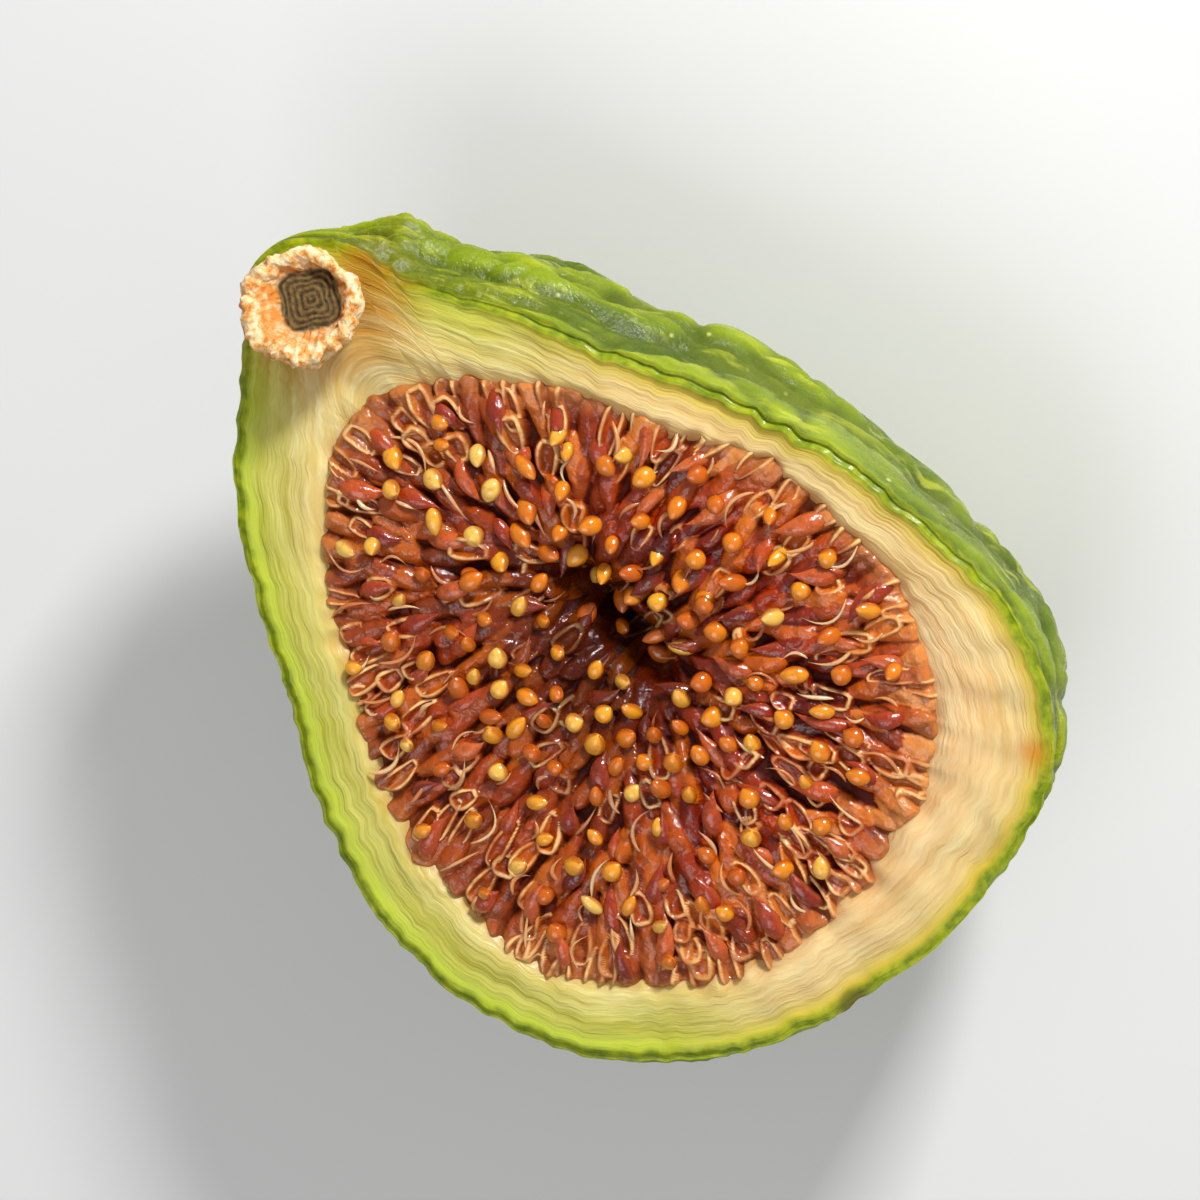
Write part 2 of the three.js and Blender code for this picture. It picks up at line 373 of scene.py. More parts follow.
class Finish:
    """A Principled material, with short ways to add the nodes that drive it."""

    def __init__(self, name, **sockets):
        self.material = bpy.data.materials.new(name)
        self.material.use_nodes = True
        self.tree = self.material.node_tree
        self.shader = self.tree.nodes["Principled BSDF"]
        for socket, value in sockets.items():
            self.shader.inputs[socket.replace("_", " ")].default_value = value

    def node(self, kind, **settings):
        made = self.tree.nodes.new(kind)
        for key, value in settings.items():
            setattr(made, key, value)
        return made

    def feed(self, value, socket):
        """Links value to socket if it is another node's output, or else sets it there."""
        if isinstance(value, bpy.types.NodeSocket):
            self.tree.links.new(value, socket)
        else:
            socket.default_value = value

    def attribute(self, name, vector=False):
        read = self.node("ShaderNodeAttribute", attribute_name=name)
        return read.outputs["Vector" if vector else "Fac"]

    def noise(self, size, detail=3.0, roughness=0.55, vector=None, stretch=(1, 1, 1)):
        """A noise with features about size millimetres across, or of that size in vector's own units."""
        if vector is None:
            vector = self.node("ShaderNodeTexCoord").outputs["Object"]
            size = size * MM
        mapping = self.node("ShaderNodeMapping")
        self.feed(vector, mapping.inputs["Vector"])
        mapping.inputs["Scale"].default_value = stretch
        made = self.node("ShaderNodeTexNoise")
        self.feed(mapping.outputs["Vector"], made.inputs["Vector"])
        made.inputs["Scale"].default_value = 1 / size
        made.inputs["Detail"].default_value = detail
        made.inputs["Roughness"].default_value = roughness
        return made.outputs["Fac"]

    def spots(self, size, vector=None):
        """The distance from the nearest of many scattered points, about size millimetres apart."""
        made = self.node("ShaderNodeTexVoronoi")
        self.feed(vector or self.node("ShaderNodeTexCoord").outputs["Object"], made.inputs["Vector"])
        made.inputs["Scale"].default_value = 1 / (size * MM)
        return made.outputs["Distance"]

    def maths(self, operation, a, b=0.0, clamp=False):
        made = self.node("ShaderNodeMath", operation=operation, use_clamp=clamp)
        self.feed(a, made.inputs[0])
        self.feed(b, made.inputs[1])
        return made.outputs[0]

    def between(self, value, low, high, to_low=0.0, to_high=1.0):
        """Value moved from the range low to high into the range to_low to to_high, and held there."""
        made = self.node("ShaderNodeMapRange", clamp=True, interpolation_type="SMOOTHSTEP")
        numbers = {"From Min": low, "From Max": high, "To Min": to_low, "To Max": to_high}
        for socket, number in numbers.items():
            made.inputs[socket].default_value = number
        self.feed(value, made.inputs["Value"])
        return made.outputs["Result"]

    def ramp(self, value, *stops):
        """A colour for value, from stops of place and colour."""
        made = self.node("ShaderNodeValToRGB")
        places = made.color_ramp.elements
        while len(places) < len(stops):
            places.new(0.5)
        for element, (place, colour) in zip(places, stops):
            element.position = place
            element.color = colour
        self.feed(value, made.inputs["Fac"])
        return made.outputs["Color"]

    def mix(self, share, a, b, blend="MIX"):
        """Colour a turning into colour b as share goes from 0 to 1."""
        made = self.node("ShaderNodeMix", data_type="RGBA", blend_type=blend)
        self.feed(share, made.inputs["Factor"])
        self.feed(a, made.inputs[6])
        self.feed(b, made.inputs[7])
        return made.outputs[2]

    def colour(self, value):
        self.feed(value, self.shader.inputs["Base Color"])

    def roughness(self, value):
        self.feed(value, self.shader.inputs["Roughness"])

    def bump(self, height, depth, strength=1.0):
        """A bump of the given depth in millimetres."""
        made = self.node("ShaderNodeBump")
        made.inputs["Strength"].default_value = strength
        made.inputs["Distance"].default_value = depth * MM
        self.feed(height, made.inputs["Height"])
        self.tree.links.new(made.outputs["Normal"], self.shader.inputs["Normal"])
        self.tree.links.new(made.outputs["Normal"], self.shader.inputs["Coat Normal"])


def skin_colour(f, grain):
    """Green skin in long patches, with painted shade darkening its creases, and pale blotches and
    specks.
    """
    crease = f.attribute("crease")
    patches = f.noise(2.4, 4, 0.6, grain)
    skin = f.ramp(patches, (0.32, shade(86, 108, 0)), (0.5, shade(134, 152, 2)),
                  (0.66, shade(184, 190, 16)))
    # Painted shade: the skin is darkened in its creases, where shade falls.
    skin = f.mix(f.between(crease, 0.15, 0.9, 0, 0.75), skin, shade(62, 80, 0))
    blotch = f.between(f.noise(0.45, 4, 0.6, grain), 0.54, 0.7, 0, 0.45)
    skin = f.mix(blotch, skin, shade(204, 208, 60))
    speck = f.maths("MULTIPLY", f.between(f.spots(0.9), 0.07, 0.15, 0.5, 0),
                    f.between(f.noise(1.6, 1), 0.45, 0.6))
    skin = f.mix(speck, skin, shade(222, 222, 140))
    # Painted shadow of the stub: the skin beside it is tinted ochre-brown.
    return f.mix(f.maths("MULTIPLY", f.attribute("painted_stub_shadow"), 0.35), skin, shade(140, 120, 30))


def rind_colour(f, fibres, threads):
    """Fibrous rind: green near the skin, cream or peach further in, and tan beside the pulp."""
    inward = f.attribute("inward")
    peach = f.attribute("peach")
    rind_green = f.ramp(fibres, (0.35, shade(182, 178, 56)), (0.65, shade(216, 210, 104)))
    rind_cream = f.ramp(fibres, (0.33, shade(228, 200, 122)), (0.5, shade(238, 214, 144)),
                        (0.7, shade(250, 236, 186)))
    rind_peach = f.ramp(fibres, (0.35, shade(238, 190, 128)), (0.65, shade(254, 222, 168)))
    rind = f.mix(peach, rind_cream, rind_peach)
    rind = f.mix(f.between(threads, 0.56, 0.7, 0, 0.2), rind, shade(208, 178, 108))
    green_share = f.maths("MULTIPLY", f.between(inward, 1.0, 3.4, 1.0, 0.1),
                          f.between(peach, 0.1, 0.9, 1, 0.25))
    rind = f.mix(green_share, rind, rind_green)
    near_pulp = f.attribute("near_pulp")
    return f.mix(f.between(near_pulp, 0.1, 1.2, 0.75, 0), rind, shade(206, 146, 78))


def fruit_finish():
    """Green skin outside, a band of cut skin at the rim, and rind that turns peach to one side."""
    f = Finish("fruit", Subsurface_Weight=0.35, Subsurface_Scale=0.0006,
               Coat_Weight=0.14, Coat_Roughness=0.1)
    f.shader.inputs["Subsurface Radius"].default_value = (1.0, 0.7, 0.25)
    f.shader.inputs["Specular IOR Level"].default_value = 0.2
    inward = f.attribute("inward")
    face = f.attribute("face")
    grain = f.attribute("grain", vector=True)
    painted_stub_shadow = f.attribute("painted_stub_shadow")

    fibres = f.noise(0.5, 4, 0.6, grain, (0.12, 0.12, 1))
    threads = f.noise(0.16, 2, 0.5, grain, (0.07, 0.07, 1))
    skin = skin_colour(f, grain)
    rind = rind_colour(f, fibres, threads)
    band = f.ramp(f.noise(0.5, 3), (0.35, shade(112, 134, 4)), (0.65, shade(170, 182, 24)))
    lime = f.mix(f.attribute("peach"), shade(196, 208, 66), shade(222, 196, 74))
    cut = f.mix(f.between(inward, 0.25, 0.6), band, lime)
    cut = f.mix(f.between(inward, 0.45, 1.25), cut, rind)
    # Painted shadow of the stub: the cut flesh beside it turns ochre, broken up by the fibres.
    ochre = f.maths("MULTIPLY", painted_stub_shadow, f.between(fibres, 0.3, 0.7, 1.0, 0.6))
    cut = f.mix(ochre, cut, shade(186, 128, 26))
    cut = f.mix(f.maths("MULTIPLY", f.attribute("nick"), 0.8), cut, shade(222, 140, 20))
    both = f.mix(face, skin, cut)
    f.colour(f.mix(f.between(f.attribute("eye"), 0.2, 0.9, 0, 0.8), both, shade(84, 78, 14)))

    rough_skin = f.between(f.noise(0.6, 3), 0.3, 0.7, 0.22, 0.42)
    rough_rind = f.between(fibres, 0.3, 0.7, 0.34, 0.52)
    f.roughness(f.maths("ADD", f.maths("MULTIPLY", rough_rind, face),
                        f.maths("MULTIPLY", rough_skin, f.maths("SUBTRACT", 1.0, face))))
    skin_bumps = f.noise(0.3, 4, 0.6)
    rind_bumps = f.maths("ADD", fibres, threads)
    height = f.maths("ADD", f.maths("MULTIPLY", rind_bumps, face),
                     f.maths("MULTIPLY", skin_bumps, f.maths("SUBTRACT", 1.0, face)))
    f.bump(height, 0.12, 0.7)
    return f.material


def bed_finish():
    """Florets pressed together: red-brown and paler at the edge, with painted shade in the gaps between
    florets and towards the hollow.
    """
    f = Finish("pulp_bed", Subsurface_Weight=0.3, Subsurface_Scale=0.0005,
               Coat_Weight=0.75, Coat_Roughness=0.05)
    f.shader.inputs["Subsurface Radius"].default_value = (1.0, 0.35, 0.2)
    f.shader.inputs["Specular IOR Level"].default_value = 0.2
    out = f.attribute("out")
    tint = f.attribute("tint")
    flesh = f.ramp(tint, (0.0, shade(60, 8, 2)), (0.25, shade(128, 26, 2)), (0.45, shade(184, 60, 4)),
                   (0.62, shade(156, 38, 3)), (0.8, shade(220, 106, 8)), (1.0, shade(206, 94, 14)))
    pale = f.ramp(tint, (0.0, shade(120, 34, 5)), (0.4, shade(182, 74, 16)), (0.75, shade(214, 118, 38)),
                  (1.0, shade(230, 158, 86)))
    flesh = f.mix(f.between(out, 0.6, 1.0, 0, 0.8), flesh, pale)
    flesh = f.mix(f.between(out, 0.9, 1.03, 0, 0.6), flesh, shade(224, 150, 82))
    flesh = f.mix(f.between(f.attribute("peach"), 0.0, 0.8, 0.45, 0), flesh, shade(150, 70, 20))
    flesh = f.mix(f.between(f.noise(0.5, 3), 0.5, 0.75, 0, 0.5), flesh, shade(92, 12, 3))
    # Painted shade in the gaps between florets, weaker near the pulp's edge.
    painted_gap_shade = f.maths("MULTIPLY", f.between(f.attribute("rim"), 0.7, 1.0, 0, 0.85),
                  f.between(out, 0.75, 1.0, 1, 0.45))
    flesh = f.mix(painted_gap_shade, flesh, shade(70, 10, 2))
    patchy = f.between(f.noise(1.1, 2), 0.38, 0.62, 0.25, 1.0)
    wall = f.maths("MULTIPLY", f.between(f.attribute("wall"), 0.25, 0.85), patchy)
    flesh = f.mix(wall, flesh, shade(248, 196, 128))
    # Painted shade: the flesh darkens towards the hollow in the middle of the pulp.
    flesh = f.mix(f.between(out, 0.08, 0.62, 0.8, 0), flesh, shade(44, 6, 1))
    f.colour(flesh)
    gloss = f.maths("MULTIPLY", f.between(f.attribute("rim"), 0.55, 0.95, 0.85, 0.0),
                    f.between(out, 0.1, 0.4, 0.3, 1))
    f.feed(gloss, f.shader.inputs["Coat Weight"])
    f.roughness(f.between(f.attribute("rim"), 0.6, 1.0, 0.24, 0.6))
    f.bump(f.noise(0.3, 3), 0.09, 0.9)
    return f.material


def floret_finish():
    """Glossy red-brown flesh, with a painted sheen that makes each floret paler at its sides, and
    painted shadow towards the middle of the pulp.
    """
    f = Finish("florets", Subsurface_Weight=0.4, Subsurface_Scale=0.0005,
               Coat_Weight=0.8, Coat_Roughness=0.05)
    f.shader.inputs["Subsurface Radius"].default_value = (1.0, 0.35, 0.2)
    tint = f.attribute("tint")
    flesh = f.ramp(tint, (0.0, shade(118, 22, 4)), (0.35, shade(164, 48, 10)), (0.7, shade(196, 78, 20)),
                   (1.0, shade(208, 104, 44)))
    flesh = f.mix(f.between(f.noise(0.35, 3), 0.45, 0.75, 0, 0.55), flesh, shade(88, 20, 10))
    # Painted sheen: a floret is paler along its sides, where a glossy edge would catch the light.
    flesh = f.mix(f.between(f.attribute("rim"), 0.5, 1.0, 0, 0.3), flesh, shade(206, 112, 66))
    shadow = f.between(f.attribute("out"), 0.0, 0.6, 0.7, 0)
    flesh = f.mix(shadow, flesh, shade(52, 8, 2))
    f.colour(flesh)
    f.roughness(f.between(f.noise(0.3, 2), 0.3, 0.7, 0.16, 0.34))
    f.bump(f.noise(0.25, 3), 0.07, 0.8)
    return f.material


def seed_finish():
    """Golden seeds, with painted shade that darkens their sides."""
    f = Finish("seeds", Subsurface_Weight=0.3, Subsurface_Scale=0.0003,
               Coat_Weight=0.8, Coat_Roughness=0.06)
    f.shader.inputs["Subsurface Radius"].default_value = (1.0, 0.6, 0.15)
    tint = f.attribute("tint")
    gold = f.ramp(tint, (0.0, shade(206, 96, 4)), (0.4, shade(232, 134, 10)),
                  (0.75, shade(248, 172, 34)), (1.0, shade(252, 206, 100)))
    # Painted shade: each seed is darker along its sides, where it turns away from the light.
    ends = f.between(f.attribute("rim"), 0.55, 1.0, 0, 0.75)
    gold = f.mix(ends, gold, shade(168, 66, 4))
    gold = f.mix(f.between(f.noise(0.25, 2), 0.5, 0.75, 0, 0.4), gold, shade(190, 92, 10))
    f.colour(gold)
    f.roughness(f.between(f.noise(0.2, 2), 0.3, 0.7, 0.14, 0.28))
    f.bump(f.noise(0.12, 2), 0.02, 0.5)
    return f.material


def strand_finish():
    """Pale threads, browner towards the middle of the pulp."""
    f = Finish("strands", Subsurface_Weight=0.5, Subsurface_Scale=0.0003,
               Coat_Weight=0.5, Coat_Roughness=0.1)
    tint = f.attribute("tint")
    pale = f.ramp(tint, (0.0, shade(190, 104, 50)), (0.5, shade(228, 166, 104)),
                  (1.0, shade(248, 216, 168)))
    pale = f.mix(f.between(f.attribute("out"), 0.3, 0.75, 0.8, 0), pale, shade(150, 60, 34))
    pale = f.mix(f.between(f.noise(0.3, 2), 0.5, 0.7, 0, 0.4), pale, shade(196, 118, 70))
    f.colour(pale)
    f.roughness(f.between(f.noise(0.3, 2), 0.3, 0.7, 0.2, 0.35))
    return f.material


def stub_finish():
    """Dry woody tan, orange in its hollows, with a dark ringed core."""
    f = Finish("stub", Subsurface_Weight=0.15, Subsurface_Scale=0.0004)
    core = f.attribute("core")
    rings = f.attribute("ring")
    height = f.attribute("high")
    fibres = f.noise(0.35, 4, 0.65)
    wood = f.ramp(fibres, (0.34, shade(206, 116, 30)), (0.46, shade(242, 178, 96)),
                  (0.58, shade(255, 232, 186)))
    wood = f.mix(f.between(height, 0.2, 0.9, 0.6, 0), wood, shade(204, 134, 40))
    well = f.maths("MULTIPLY", f.attribute("well"), f.between(fibres, 0.35, 0.6, 1.0, 0.45))
    wood = f.mix(well, wood, shade(228, 138, 46))
    dark = f.ramp(rings, (0.15, shade(44, 32, 8)), (0.85, shade(132, 102, 40)))
    dark = f.mix(f.between(f.noise(0.25, 3), 0.5, 0.7, 0, 0.5), dark, shade(84, 34, 14))
    f.colour(f.mix(core, wood, dark))
    f.roughness(f.between(fibres, 0.3, 0.7, 0.45, 0.7))
    f.bump(f.noise(0.16, 4, 0.65), 0.12, 0.9)
    return f.material


# ---- Skin and rind ----


def make_skin():
    """The skin: its points, its faces, its rim, how deep in a crease each point is, and its grain.

    The rim is the loop of points along the cut. The last two points are the blossom and stalk ends.
    """
    turn = np.linspace(0, math.pi, STATIONS + 1)
    low, high = -HALF_LENGTH, HALF_LENGTH + NECK_REACH
    x = ((low + high) / 2 - np.cos(turn) * (high - low) / 2)[1:-1, None]
    a = np.linspace(0, math.pi, SKIN_STEPS + 1)[None, :]
    skin, crease = skin_points(x, a)
    ends = np.array([[low, middle_y(low), CUT_HEIGHT], [high, middle_y(high), CUT_HEIGHT]])
    points = np.concatenate([skin.reshape(-1, 3), ends])
    blossom, stalk = len(points) - 2, len(points) - 1
    grid = np.arange(blossom).reshape(crease.shape)
    faces = grid_faces(grid)
    for i in range(SKIN_STEPS):
        faces.append([blossom, int(grid[0, i]), int(grid[0, i + 1])])
        faces.append([stalk, int(grid[-1, i + 1]), int(grid[-1, i])])
    rim = [blossom, *grid[:, 0].tolist(), stalk, *grid[::-1, -1].tolist()]
    grain = spread_out(0.22 * travel(x), SKIN_AROUND * a, SKIN_LAYER).reshape(-1, 3)
    grain = np.concatenate([grain, [[0, 0, SKIN_LAYER], [0, 0, SKIN_LAYER]]])
    return points, faces, rim, np.concatenate([crease.ravel(), [0, 0]]), grain


def rim_circle(edge):
    """The rim laid out on a circle of its own length, so that grain along it closes up."""
    step = np.linalg.norm(np.diff(edge, axis=0, append=edge[:1]), axis=1)
    along = np.cumsum(step) - step
    length = along[-1] + step[-1]
    turned = along / length * 2 * math.pi
    radius = length / (2 * math.pi)
    return radius * np.cos(turned), radius * np.sin(turned)


def rind_height(place, inward, share, grain, from_middle):
    """The height of the rind, with its lip, waves and streaks. Under the pulp it drops away.

    share is 1 at the rim and 0 at the pulp. from_middle is 0 at the pulp's middle and 1 at its edge.
    """
    flat = spread_out(place[..., 0], place[..., 1], 0.0)
    lip = 0.09 * mound(inward, 0.34, 0.2) - 0.16 * mound(inward, 0, 0.14)
    waves = 0.13 * noise(flat, 3.4, 21) + 0.06 * noise(flat, 1.3, 22)
    waves = waves * (1 + rise(-place[..., 0], 4, 12))
    streaks = 0.034 * noise(grain, (3.6, 3.6, 0.36), 23) + 0.02 * noise(grain, (2.0, 2.0, 0.16), 24)
    sag = -0.6 * rise(-share, -0.36, 0.0)
    top = CUT_HEIGHT - 0.05 + lip + (waves + streaks) * rise(inward, 0.1, 0.7) + sag
    below = CUT_HEIGHT - DISH_DEPTH - (BED_DEPTH - 1) * rise(-from_middle, -0.9, -0.6)
    return top + (below - top) * rise(-share, -0.05, 0.1)


def make_rind(edge):
    """Rings of points from the rim of the cut to the dish under the pulp.

    Returns the points, how far each lies in from the rim and out from the pulp, and its grain.
    """
    spoke = edge[:, :2] - PULP_MIDDLE
    reach = np.linalg.norm(spoke, axis=1)
    heading = spoke / reach[:, None]
    pulp_edge = pulp_reach(np.arctan2(spoke[:, 1], spoke[:, 0]))
    width = reach - pulp_edge
    share = 1 - np.linspace(0, 1, RIND_RINGS + 1)[1:, None] ** 1.05 * 1.14
    outer = pulp_edge + share * width
    inner = pulp_edge * np.array(DISH_RINGS)[:, None]
    radius = np.concatenate([outer, inner])
    place = PULP_MIDDLE + heading * radius[..., None]
    inward = reach - radius
    grain = spread_out(*rim_circle(edge), inward)
    share = np.concatenate([share + np.zeros_like(outer), np.full(inner.shape, -0.2)])
    height = rind_height(place, inward, share, grain, radius / pulp_edge)
    return spread_out(place[..., 0], place[..., 1], height), inward, share * width, grain


def fruit_marks(points):
    """How strongly each point is marked by the eye, the nick, and the ochre shadow painted on the flesh
    and skin beside the stub.
    """
    level = points[:, :2]
    from_stub = np.linalg.norm(level - STUB_PLACE, axis=1)
    pulp_side = rise(-points[:, 0], 0.5 - HALF_LENGTH, 1.7 - HALF_LENGTH)
    return {
        "eye": np.exp(-np.sum(((level - EYE) / EYE_SIZE) ** 2, axis=1)),
        "nick": np.exp(-np.sum(((level - NICK) / NICK_SIZE) ** 2, axis=1)),
        # The painted shadow that the stub casts, on the fruit's side of it.
        "painted_stub_shadow": 0.9 * rise(-from_stub, -4.6, -1.9) * pulp_side,
    }


def make_fruit():
    """One closed body: the skin from its two ends round the underside, and the rind across the cut."""
    skin, faces, rim, crease, skin_grain = make_skin()
    rind, inward, from_pulp, rind_grain = make_rind(skin[rim])
    middle = [*PULP_MIDDLE, CUT_HEIGHT - DISH_DEPTH - (BED_DEPTH - 1)]
    points = np.concatenate([skin, rind.reshape(-1, 3), [middle]])
    loops = np.concatenate([[rim], len(skin) + np.arange(inward.size).reshape(inward.shape)])
    faces += loop_faces(loops) + fan_faces(loops[-1], len(points) - 1)

    face = np.repeat([0.0, 1.0], [len(skin), inward.size + 1])
    face[rim] = 1
    grain = np.concatenate([skin_grain, rind_grain.reshape(-1, 3), [[0, 0, 0]]])
    grain[rim] = spread_out(*rim_circle(skin[rim]), 0.0)
    attributes = {
        "inward": np.concatenate([np.zeros(len(skin)), inward.ravel(), [9]]),
        "face": face,
        "crease": np.concatenate([crease, np.zeros(inward.size + 1)]),
        "grain": grain,
        "peach": peach_side(points),
        "near_pulp": np.concatenate([np.full(len(skin), 9.0), from_pulp.ravel(), [0]]),
        **fruit_marks(points),
    }
    piece = make_piece("fig_skin_and_rind", points, faces, fruit_finish(), attributes)
    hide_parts("fig_half")


# ---- Pulp ----


def disc_grid():
    """A square grid bent into a disc: the angle of each of its points, and its share of the radius."""
    side = np.linspace(-1, 1, BED_GRID + 1)
    a, b = np.meshgrid(side, side, indexing="ij")
    wide = np.abs(a) > np.abs(b)
    radius = np.where(wide, a, b)
    part = math.pi / 4 * np.where(wide, b, a) / np.where(radius == 0, 1, radius)
    angle = np.where(wide, part, math.pi / 2 - part) + np.where(radius < 0, math.pi, 0)
    return angle, np.abs(radius)


def press_florets(place, height, florets):
    """Raises height where florets lie. Returns it, and each point's tint, rim and wall.

    rim is 0 along the middle of a floret and 1 at its side. wall is 1 on the pale edge of a floret
    that the knife opened.
    """
    tint = np.full(height.shape, 0.1)
    rim = np.ones(height.shape)
    wall = np.zeros(height.shape)
    ground = height.copy()
    for floret in florets:
        away = place - floret["place"]
        s = away @ floret["inward"] / floret["length"] + 0.5
        t = away @ floret["sideways"] + floret["bend"] * ((s - 0.5) ** 2 - 0.08)
        near = (s > 0) & (s < 1) & (np.abs(t) < floret["width"])
        s, t = s[near], t[near]
        half = floret["width"] * np.sin(math.pi * s ** 0.72) ** 0.6
        side = np.clip(np.abs(t) / np.maximum(half, 1e-6), 0, 1)
        dome = half * np.sqrt(1 - side * side)
        base = ground[near] + floret["lift"] + floret["tilt"] * (s - 0.5)
        new = base + floret["swell"] * dome
        edge = np.zeros(s.shape)
        if floret["open"]:
            ring = 1 - np.minimum(np.minimum(s, 1 - s) * floret["length"] / floret["width"], 1 - side)
            edge = mound(ring, 0.66, 0.16)
            new = new - 0.7 * dome * rise(-ring, -0.6, -0.3) + 0.05 * edge
        won = (new > height[near]) & (side < 1)
        for array, values in ((height, new), (tint, floret["tint"]), (rim, side), (wall, edge)):
            old = array[near]
            array[near] = np.where(won, values, old)
    return height, tint, rim, wall


def lay_florets():
    """The florets of the bed: outer ones first, some of them opened by the knife."""
    places = scatter(*FLORET_SPACING)
    inward, sideways = inward_ways(places, 0.3)
    out = share_out(places)
    florets = []
    for i in np.argsort(-out):
        outer = rise(out[i], 0.5, 1.0)
        opened = rng.random() < 0.2 + 0.3 * outer
        florets.append({
            "place": places[i],
            "inward": inward[i],
            "sideways": sideways[i],
            "length": rng.uniform(1.3, 2.7) + 0.6 * outer - 0.7 * opened,
            "width": rng.uniform(0.3, 0.48) + 0.08 * opened,
            "bend": rng.uniform(-0.5, 0.5),
            "lift": rng.uniform(-0.1, 0.24) * (1 - 0.6 * outer) + 0.08 * opened,
            "tilt": rng.uniform(-0.35, 0.45),
            "swell": 0.8 - 0.2 * rise(out[i], 0.85, 1.0),
            "tint": rng.uniform(0.1, 1),
            "open": opened,
        })
    return florets


def softened(height):
    """Each inner value of a grid, averaged with its neighbours."""
    soft = height.copy()
    around = height[:-2, 1:-1] + height[2:, 1:-1] + height[1:-1, :-2] + height[1:-1, 2:]
    soft[1:-1, 1:-1] = 0.5 * height[1:-1, 1:-1] + 0.125 * around
    return soft


def make_bed():
    """A closed lens of flesh that fills the dish in the rind, with florets pressed together on top."""
    angle, share = disc_grid()
    reach = pulp_reach(angle) + 1.0
    place = PULP_MIDDLE + spread_out(np.cos(angle), np.sin(angle)) * (reach * share)[..., None]
    flat = spread_out(place[..., 0], place[..., 1], 0.0)
    ground = pulp_height(place) - 0.15 + 0.1 * noise(flat, 0.6, 31)
    height, tint, rim, wall = press_florets(place, ground, lay_florets())
    height = softened(height) + 0.035 * noise(flat, 0.35, 33)
    tuck = rise(share, 0.96, 1.0)
    height = height - 0.55 * tuck
    top = spread_out(place[..., 0], place[..., 1], height)

    grid = np.arange(top[..., 0].size).reshape(BED_GRID + 1, BED_GRID + 1)
    edge = np.concatenate([grid[:-1, 0], grid[-1, :-1], grid[:0:-1, -1], grid[0, :0:-1]])
    edge_place = place.reshape(-1, 2)[edge]
    under_place = PULP_MIDDLE + (edge_place - PULP_MIDDLE) * np.array([0.97, 0.7, 0.35])[:, None, None]
    under_drop = np.array([1.3, BED_DEPTH, BED_DEPTH])[:, None]
    under = spread_out(under_place[..., 0], under_place[..., 1], CUT_HEIGHT - under_drop)
    lowest = [*PULP_MIDDLE, CUT_HEIGHT - BED_DEPTH]
    points = np.concatenate([top.reshape(-1, 3), under.reshape(-1, 3), [lowest]])

    loops = np.concatenate([[edge], grid.size + np.arange(3 * len(edge)).reshape(3, -1)])
    faces = grid_faces(grid) + loop_faces(loops) + fan_faces(loops[-1], len(points) - 1)

    hidden = len(points) - grid.size
    attributes = {
        "out": np.clip(share_out(points), 0, 1.1),
        "peach": peach_side(points),
        "tint": np.concatenate([tint.ravel(), np.zeros(hidden)]),
        "rim": np.concatenate([rim.ravel(), np.ones(hidden)]),
        "wall": np.concatenate([wall.ravel(), np.zeros(hidden)]),
    }
    make_piece("fig_pulp", points, faces, bed_finish(), attributes)


def scatter(spacing, low, high):
    """Points in the pulp, from low to high of the way out, and no closer together than spacing."""
    kept = np.empty((0, 2))
    for candidate in PULP_MIDDLE + rng.uniform(-1, 1, (14000, 2)) * [PULP_LENGTH + 1, PULP_WIDTH + 3]:
        out = share_out(candidate)
        if not low < out < high:
            continue
        if len(kept) and np.min(np.sum((kept - candidate) ** 2, axis=1)) < spacing ** 2:
            continue
        kept = np.vstack([kept, candidate])
    return kept


def inward_ways(places, waver):
    """For each place, the level way to the hollow, turned by up to waver radians, and the way across."""
    way, _ = to_hollow(places)
    angle = np.arctan2(way[:, 1], way[:, 0]) + rng.uniform(-waver, waver, len(places))
    return spread_out(np.cos(angle), np.sin(angle)), spread_out(-np.sin(angle), np.cos(angle))


def tubes(paths, radii, sides, flatness):
    """Closed tubes along many paths at once, flatter up and down by flatness. Returns the points, the
    faces, and how near each point is to its tube's side, from 0 on top to 1 at the side."""
    tangent = unit(np.gradient(paths, axis=1))
    aside = unit(np.cross(tangent, [0.0, 0.0, 1.0]))
    over = np.cross(aside, tangent)
    turn = np.linspace(0, 2 * math.pi, sides, endpoint=False)[:, None]
    ring = np.cos(turn) * aside[..., None, :] + flatness * np.sin(turn) * over[..., None, :]
    points = paths[..., None, :] + radii[..., None, None] * ring
    count, steps = radii.shape
    index = np.arange(count * steps * sides).reshape(count, steps, sides)
    rolled = np.roll(index, -1, axis=2)
    quads = np.stack([index[:, :-1], rolled[:, :-1], rolled[:, 1:], index[:, 1:]], axis=-1)
    faces = quads.reshape(-1, 4).tolist()
    faces += index[:, 0, ::-1].tolist()
    faces += index[:, -1].tolist()
    side = np.abs(np.cos(turn[:, 0])) * np.ones((count, steps, 1))
    return points, faces, side


def make_tubes(name, paths, radii, sides, flatness, finish, tint):
    """One piece of many tubes, each with a tint of its own."""
    points, faces, side = tubes(paths, radii, sides, flatness)
    attributes = {
        "rim": side.ravel(),
        "tint": np.repeat(tint, points.shape[1] * points.shape[2]),
        "out": share_out(points).ravel(),
    }
    make_piece(name, points.reshape(-1, 3), faces, finish, attributes)


